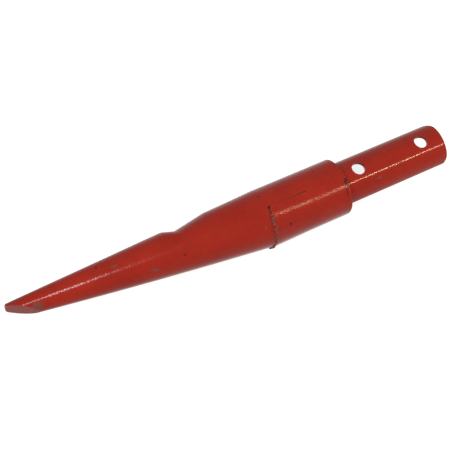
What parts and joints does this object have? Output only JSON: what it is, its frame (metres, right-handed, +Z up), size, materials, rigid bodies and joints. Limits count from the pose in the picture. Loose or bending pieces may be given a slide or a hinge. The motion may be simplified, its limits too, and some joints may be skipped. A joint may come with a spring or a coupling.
{
  "type": "bale spear",
  "caption": "Bolt-on bale spear tip: a round tube collar drawn out into a one-sided bevelled point, with a half-tube tang drilled for bolts.",
  "frame": {"origin": "on the tube's axis, midway between the two bolt holes of the tang", "axes": "+X along the tube's axis and out along the tang, away from the tip; +Z up through the tang's crest and along the bolt holes; +Y towards the point's straight side"},
  "size_m": [0.4825, 0.0628, 0.064],
  "materials": {
    "red_paint": "glossy red enamel over formed steel tube",
    "weld_paint": "thin red enamel over rough weld metal"
  },
  "bodies": {
    "root": {"spear_body": "red_paint", "tang": "red_paint", "tang_weld": "weld_paint", "seam_weld": "weld_paint"}
  },
  "joints": []
}
